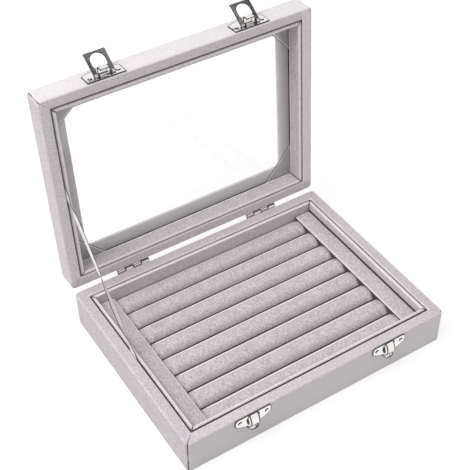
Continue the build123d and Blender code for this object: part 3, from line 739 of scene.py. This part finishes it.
lid_rings = []
for inset, level in profile:
    if inset < 7.7:
        corner = max(corner_round - inset, tight_corner)
    else:
        corner = tight_corner + (window_corner - tight_corner) * (inset - 7.7) / (window_margin - 7.7)
    upright = inset < 1.0
    on_rim = level < lid_rim + 1.0 and inset > 0.5
    seams = (0.10, 0.10, 0.40, 0.10) if upright else (0, 0, 0, 0)
    creases = (-0.28, -0.28, -0.35, -0.30) if on_rim else (0, 0, 0, 0)
    lid_rings.append(ring_points(half_width - inset, half_depth - inset, corner, level, seams, creases))
lid_wrap = loft(lid_rings)


def on_mat(place):
    """Whether a place is on the border's inside, behind the glass."""
    inset = min(in_from_walls(place))
    return mat_level - 0.1 < place.z < mat_level + 1.0 and rim_width + 0.3 < inset < window_margin + 0.1


def lid_seams_and_painted_light(place):
    """Painted highlight along the rim's inner edge, where the pile also parts over the fold, and painted
    light on the front wall and the side rims, most on the right. The back rim takes a little painted
    shade, the corners dark seams, and the gap beside the liners painted shade. The mat carries painted
    shade beside the liners that fades to a faint painted highlight towards the window."""
    from_side, from_end = in_from_walls(place)
    inset = min(from_side, from_end)
    on_rim = place.z < lid_rim + 1.0
    if abs(from_side - from_end) < 0.05 and inset < mitre_reach and place.z < lid_top - 1:
        stitch = noise.noise(place * 0.9)
        if place.y < 0 and inset < 2.0:
            return darkest_seam_and_shade if stitch > -0.12 else -0.35
        return -0.4 - 0.5 * stitch if on_rim else -0.12
    if on_mat(place):
        if inset < (11.0 if from_side < from_end else 10.5):
            return darkest_seam_and_shade
        return -0.22 + 0.4 * (inset - 11.0) / (window_margin - 11.0)
    if place.z > lid_rim + 1.0 and abs(inset - rim_width) < 0.3:
        return darkest_seam_and_shade
    if on_rim and inset > rim_width - 0.8:
        return 0.5
    if place.y < 1.0 - half_depth:
        return 0.5
    if on_rim and place.y > half_depth - rim_width:
        return -0.1
    if on_rim and from_side < rim_width:
        return 0.35 if place.x > 0 else 0.12
    return 0.0


mark_seams_and_painted_light(lid_wrap, lid_seams_and_painted_light)
mark_pressed(lid_wrap, lambda place: 1.0 if on_mat(place) else 0.0)
hand_worked(lid_wrap, paste_swell, paste_wavelength, 9.4)
swing_open(lid_wrap)
lid_cover = set_piece(lid_wrap, "lid_velvet_wrap", "lid", wrapped_velvet, ["lid_velvet_cover"])
soften(lid_cover, velvet_thickness)

# ---------------------------------------- window corner gussets
# Four triangles of the same velvet, pasted across the inside corners of the window before the
# glass goes in, so that no raw cut shows. Their folded edges cut off the window's corners.
gusset_thickness = 0.4
gusset_runs = {(1, 1): (26.0, 30.0), (-1, 1): (26.5, 26.5), (1, -1): (24.0, 28.5), (-1, -1): (31.3, 27.1)}
gusset_tip = (91.5, 66.5)
gusset_gap = 0.45
gusset_fold = 1.1


def gusset_reach(place):
    """How far a place is from the folded edge of its own gusset, in millimetres."""
    run_x, run_y = gusset_runs[(1 if place.x > 0 else -1, 1 if place.y > 0 else -1)]
    share = (gusset_tip[0] - abs(place.x)) / run_x + (gusset_tip[1] - abs(place.y)) / run_y
    return (1.0 - share) / math.hypot(1 / run_x, 1 / run_y)


gussets = bmesh.new()
for (side_x, side_y), (run_x, run_y) in gusset_runs.items():
    tip = Vector((side_x * gusset_tip[0], side_y * gusset_tip[1], mat_level - gusset_thickness - 0.02))
    made = bmesh.ops.create_circle(gussets, segments=3, radius=1, cap_ends=True)["verts"]
    made[0].co = tip
    made[1].co = tip - Vector((side_x * run_x, 0, 0))
    made[2].co = tip - Vector((0, side_y * run_y, 0))
    outward = Vector((-side_x / run_x, -side_y / run_y, 0)).normalized()
    for depth in (gusset_gap - 0.1, gusset_gap, gusset_fold, gusset_fold + 0.1):
        own = [f for f in gussets.faces if f.calc_center_median().x * side_x > 0
               and f.calc_center_median().y * side_y > 0]
        edges = {e for f in own for e in f.edges}
        verts = {v for f in own for v in f.verts}
        bmesh.ops.bisect_plane(gussets, geom=own + list(edges) + list(verts), dist=1e-5,
                               plane_co=made[1].co - outward * depth, plane_no=outward)
bmesh.ops.recalc_face_normals(gussets, faces=gussets.faces)
bmesh.ops.solidify(gussets, geom=gussets.faces[:], thickness=-gusset_thickness)
bmesh.ops.recalc_face_normals(gussets, faces=gussets.faces)


def gusset_painted_light(place):
    """A line of painted shade where the folded edge stands off the mat, a painted highlight along the fold,
    and a little painted shade over the rest.
    """
    reach = gusset_reach(place)
    if reach < gusset_gap - 0.05:
        return -0.9
    return 0.9 if reach < gusset_fold + 0.05 else -0.25


mark_seams_and_painted_light(gussets, gusset_painted_light)
mark_pressed(gussets, lambda place: 0.7)
swing_open(gussets)
set_piece(gussets, "window_corner_gussets", "lid", wrapped_velvet, [], 40.0)

# ---------------------------------------- window glass
# A pane of clear 2 mm float glass with cut edges, dropped in on the mat once the gussets are
# pasted, and held there by the liners.

# Float glass: clear and flat, seen only by a faint grey tint and what it mirrors.
float_glass = blank_material("float_glass")
clear = add_node(float_glass, "ShaderNodeBsdfPrincipled", {
    "Base Color": colour("#ffffff"), "Roughness": 0.0, "IOR": 1.5, "Transmission Weight": 1.0})
passing = add_node(float_glass, "ShaderNodeBsdfTransparent", {"Color": colour("#f4f7f5")})
path = add_node(float_glass, "ShaderNodeLightPath", {})
pane = add_node(float_glass, "ShaderNodeMixShader", {
    0: path.outputs["Is Shadow Ray"], 1: clear.outputs["BSDF"], 2: passing.outputs["BSDF"]})
add_node(float_glass, "ShaderNodeOutputMaterial", {"Surface": pane.outputs["Shader"]})
give(float_glass, ["glass_pane"])

# ---------------------------------------- lid liners
# Four strips of board in velvet, mitred like the base's and as thick. They are pushed in against
# the glass to hold it, and a painted highlight runs along their foot there.
lid_liner_show = 27.9
lid_liner_seat = 39.3

for side in liner_sides:
    strip = liner(side, lid_liner_seat, lid_liner_show, 0.85, 0.0, 0, 11)
    swing_open(strip)
    set_piece(strip, "lid_" + side + "_liner", "lid", liner_velvet,
              ["lid_liner_" + side], 40.0)

# ---------------------------------------- latch plates and levers
# The plate is stamped with two ears that hold a pin, and a sprung tongue over it. The forked lever
# turns on the pin; it swings down, snaps its D-shaped hole over the catch's beak, and stands open here.
for side in ("left", "right"):
    eased_stamping("latch_%s_plate" % side, "latch_plate_" + side, "lid", 0.10)
    eased_stamping("latch_%s_lever" % side, "latch_lever_" + side, side + "_lever", 0.12)

# ---------------------------------------- ribbon stay
# White satin ribbon, glued behind the left liners of base and lid, so that it stops the lid a
# little past upright. It is stiff with size and keeps the twist that it was glued down with.
ribbon_width = 8.0
ribbon_thickness = 0.3
ribbon_x = -92.15
ribbon_start = Vector((ribbon_x, 6.0, 27.0))
ribbon_end = Vector((ribbon_x, 82.03, 104.89))
ribbon_tuck = 11.0
ribbon_lid_tuck = 12.1

# Satin: white and smooth, with a soft gleam along the ribbon and painted shade along both edges.
satin = blank_material("white_satin_ribbon")
place = add_node(satin, "ShaderNodeUVMap", {}, uv_map="ribbon")
# satin threads lie across the ribbon, 0.25 mm apart, and are drawn at 0.5 mm so that they show
threads = add_node(satin, "ShaderNodeTexWave", {
    "Vector": place.outputs["UV"], "Scale": 260.0, "Distortion": 1.5, "Detail": 2.0}, bands_direction="X")
tone = add_node(satin, "ShaderNodeValToRGB", {"Fac": threads.outputs["Fac"]})
tone.color_ramp.elements[0].color = colour("#f3f1f2")
tone.color_ramp.elements[1].color = colour("#fdfcfc")
# painted shade: the outer 0.9 mm of each edge is painted near-black, for the dark line that shade draws along
# the ribbon
sides = add_node(satin, "ShaderNodeSeparateXYZ", {"Vector": place.outputs["UV"]})
from_middle = add_node(satin, "ShaderNodeMath", {
    0: sides.outputs["Y"], 1: ribbon_width / 2000}, operation="SUBTRACT")
outwards = add_node(satin, "ShaderNodeMath", {0: from_middle.outputs["Value"]}, operation="ABSOLUTE")
painted_edge_shade = add_node(satin, "ShaderNodeMapRange", {
    "Value": outwards.outputs["Value"], "From Min": 0.0031, "From Max": 0.0034, "To Min": 0.0, "To Max": 1.0})
edged = add_node(satin, "ShaderNodeMixRGB", {
    "Fac": painted_edge_shade.outputs["Result"], "Color1": tone.outputs["Color"], "Color2": colour("#3c383a")})
weft = add_node(satin, "ShaderNodeBump", {
    "Height": threads.outputs["Fac"], "Strength": 0.25, "Distance": 0.00005})
surface = add_node(satin, "ShaderNodeBsdfPrincipled", {
    "Base Color": edged.outputs["Color"], "Roughness": 0.38, "Anisotropic": 0.5, "Sheen Weight": 0.2,
    "Normal": weft.outputs["Normal"]})
add_node(satin, "ShaderNodeOutputMaterial", {"Surface": surface.outputs["BSDF"]})

# the twist in degrees at shares of the free length from the base, as the photo shows it
ribbon_turns = [(0.0, 0.0), (0.06, -8.0), (0.13, -23.0), (0.2, -36.0), (0.3, -37.0), (0.38, -30.0),
                (0.46, -20.0), (0.54, -3.0), (0.86, 0.0), (0.94, -16.0), (1.0, 0.0)]


def ribbon_twist(share):
    """The ribbon's twist in degrees, at a share of its free length from the base."""
    for (before, first), (after, last) in zip(ribbon_turns, ribbon_turns[1:]):
        if share <= after:
            part = (share - before) / (after - before)
            return first + (last - first) * part * part * (3 - 2 * part)
    return 0.0


along = (ribbon_end - ribbon_start).normalized()
free_length = (ribbon_end - ribbon_start).length
across = Vector((1, 0, 0)).cross(along).normalized()
whole_length = ribbon_tuck + free_length + ribbon_lid_tuck
ribbon_steps = 90
ribbon_mesh = bmesh.new()
weave = bmesh.ops.create_grid(ribbon_mesh, x_segments=ribbon_steps, y_segments=6, size=0.5)["verts"]
uv = ribbon_mesh.loops.layers.uv.new("ribbon")
for face in ribbon_mesh.faces:
    for corner in face.loops:
        spot = corner.vert.co
        corner[uv].uv = ((spot.x + 0.5) * whole_length / 1000, (spot.y + 0.5) * ribbon_width / 1000)
for vertex in weave:
    run = (vertex.co.x + 0.5) * whole_length - ribbon_tuck
    offset = vertex.co.y * ribbon_width
    share = min(max(run / free_length, 0), 1)
    twist = math.radians(ribbon_twist(share))
    centre = ribbon_start + along * run
    vertex.co = centre + across * offset * math.cos(twist) + Vector((1, 0, 0)) * offset * math.sin(twist)
bmesh.ops.recalc_face_normals(ribbon_mesh, faces=ribbon_mesh.faces)
bmesh.ops.solidify(ribbon_mesh, geom=ribbon_mesh.faces[:], thickness=ribbon_thickness)
ribbon = set_piece(ribbon_mesh, "satin_stay_ribbon", None, satin, ["stay_ribbon"], 60.0)
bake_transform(ribbon)

# ---------------------------------------- floor, light and camera
# The box stands on a white table in a white room, lit by one soft box high on its left. None of
# this is part of the object.


def looked_at(material):
    """Where a surface is looked at, by the camera, in a mirror or through glass."""
    path = add_node(material, "ShaderNodeLightPath", {})
    mirrored = add_node(material, "ShaderNodeMath", {
        0: path.outputs["Is Glossy Ray"], 1: path.outputs["Is Transmission Ray"]}, operation="MAXIMUM")
    return add_node(material, "ShaderNodeMath", {
        0: path.outputs["Is Camera Ray"], 1: mirrored.outputs["Value"]}, operation="MAXIMUM").outputs["Value"]


def stage_piece(shape, name, material):
    """Turns a shape drawn in metres into something that stands round the object."""
    mesh = bpy.data.meshes.new(name)
    shape.to_mesh(mesh)
    shape.free()
    mesh.materials.append(material)
    thing = bpy.data.objects.new(name, mesh)
    bpy.context.scene.collection.objects.link(thing)
    return thing


# Painted white board: plain white to the eye and in reflections, a normal pale floor to the light.
white_board = blank_material("painted_white_board")
bounce = add_node(white_board, "ShaderNodeBsdfDiffuse", {"Color": colour("#dedede")})
seen = add_node(white_board, "ShaderNodeBsdfDiffuse", {"Color": colour("#a0a0a0")})
glow = add_node(white_board, "ShaderNodeEmission", {"Color": colour("#ffffff"), "Strength": 0.72})
lit = add_node(white_board, "ShaderNodeAddShader", {0: seen.outputs["BSDF"], 1: glow.outputs["Emission"]})
choice = add_node(white_board, "ShaderNodeMixShader", {
    0: looked_at(white_board), 1: bounce.outputs["BSDF"], 2: lit.outputs["Shader"]})
add_node(white_board, "ShaderNodeOutputMaterial", {"Surface": choice.outputs["Shader"]})
table = bmesh.new()
bmesh.ops.create_grid(table, x_segments=1, y_segments=1, size=3.0)
table_top = stage_piece(table, "table", white_board)

world = bpy.data.worlds.new("white_room")
bpy.context.scene.world = world
world.use_nodes = True
world.node_tree.nodes.clear()
fill = add_node(world, "ShaderNodeMapRange", {"Value": looked_at(world), "To Min": 0.62, "To Max": 1.0})
sky = add_node(world, "ShaderNodeBackground", {
    "Color": colour("#ffffff"), "Strength": fill.outputs["Result"]})
add_node(world, "ShaderNodeOutputWorld", {"Surface": sky.outputs["Background"]})

lamp = bpy.data.lights.new("soft_box", "AREA")
lamp.shape = "DISK"
lamp.size = 0.9
lamp.energy = 8.7
soft_box = bpy.data.objects.new("soft_box", lamp)
soft_box.location = (-0.64, 0.06, 1.19)
aim = Vector((0, 0, 0.05)) - soft_box.location
soft_box.rotation_mode = "QUATERNION"
soft_box.rotation_quaternion = aim.to_track_quat("-Z", "Y")
bpy.context.scene.collection.objects.link(soft_box)

# Worn black felt, on a card that hangs above the box, a little to the right: black, with grey bare
# patches about 35 mm across. Only polished metal sees it, and the levers mirror it.
felt = blank_material("black_felt")
place = add_node(felt, "ShaderNodeTexCoord", {})
worn = add_node(felt, "ShaderNodeTexNoise", {"Vector": place.outputs["Object"], "Scale": 28.0, "Detail": 1.0})
tone = add_node(felt, "ShaderNodeValToRGB", {"Fac": worn.outputs["Fac"]})
tone.color_ramp.elements[0].position = 0.5
tone.color_ramp.elements[0].color = colour("#141414")
tone.color_ramp.elements[1].position = 0.58
tone.color_ramp.elements[1].color = colour("#b8b8b8")
soot = add_node(felt, "ShaderNodeBsdfDiffuse", {"Color": tone.outputs["Color"]})
add_node(felt, "ShaderNodeOutputMaterial", {"Surface": soot.outputs["BSDF"]})
card = bmesh.new()
bmesh.ops.create_circle(card, segments=48, radius=0.26, cap_ends=True)
bmesh.ops.scale(card, vec=(1.0, 0.7, 1.0), verts=card.verts)
card_middle = Vector((0.15, -0.055, 0.5))
facing = (Vector((0, 0.09, 0.18)) - card_middle).to_track_quat("Z", "Y").to_matrix()
bmesh.ops.rotate(card, cent=(0, 0, 0), matrix=facing, verts=card.verts)
bmesh.ops.translate(card, vec=card_middle, verts=card.verts)
black_card = stage_piece(card, "black_card", felt)
black_card.visible_camera = False
black_card.visible_diffuse = False
black_card.visible_transmission = False
black_card.visible_shadow = False

# The camera stands at the front left, above the box, and looks down into it. Its focal length is
# counted in pixels of the picture, as it was fitted to the photo's outlines.
picture_width = 470
focal_length = 1046.6
sensor_width = 36.0
azimuth = -0.565326
elevation = 0.748332
roll_angle = -0.007465
target = Vector((4.345, 34.247, 60.235)) / 1000
distance = 0.70651
back = Vector((math.sin(azimuth) * math.cos(elevation), -math.cos(azimuth) * math.cos(elevation),
               math.sin(elevation)))
right = (-back).cross(Vector((0, 0, 1))).normalized()
up = right.cross(-back)
tilted_right = right * math.cos(roll_angle) + up * math.sin(roll_angle)
tilted_up = up * math.cos(roll_angle) - right * math.sin(roll_angle)
lens = bpy.data.cameras.new("front_left_view")
lens.sensor_width = sensor_width
lens.lens = focal_length / picture_width * sensor_width
lens.clip_start = 0.05
viewer = bpy.data.objects.new("front_left_view", lens)
viewer.location = target + back * distance
viewer.rotation_mode = "QUATERNION"
viewer.rotation_quaternion = Matrix((tilted_right, tilted_up, back)).transposed().to_quaternion()
bpy.context.scene.collection.objects.link(viewer)
bpy.context.scene.camera = viewer
bpy.context.scene.view_settings.view_transform = "Standard"
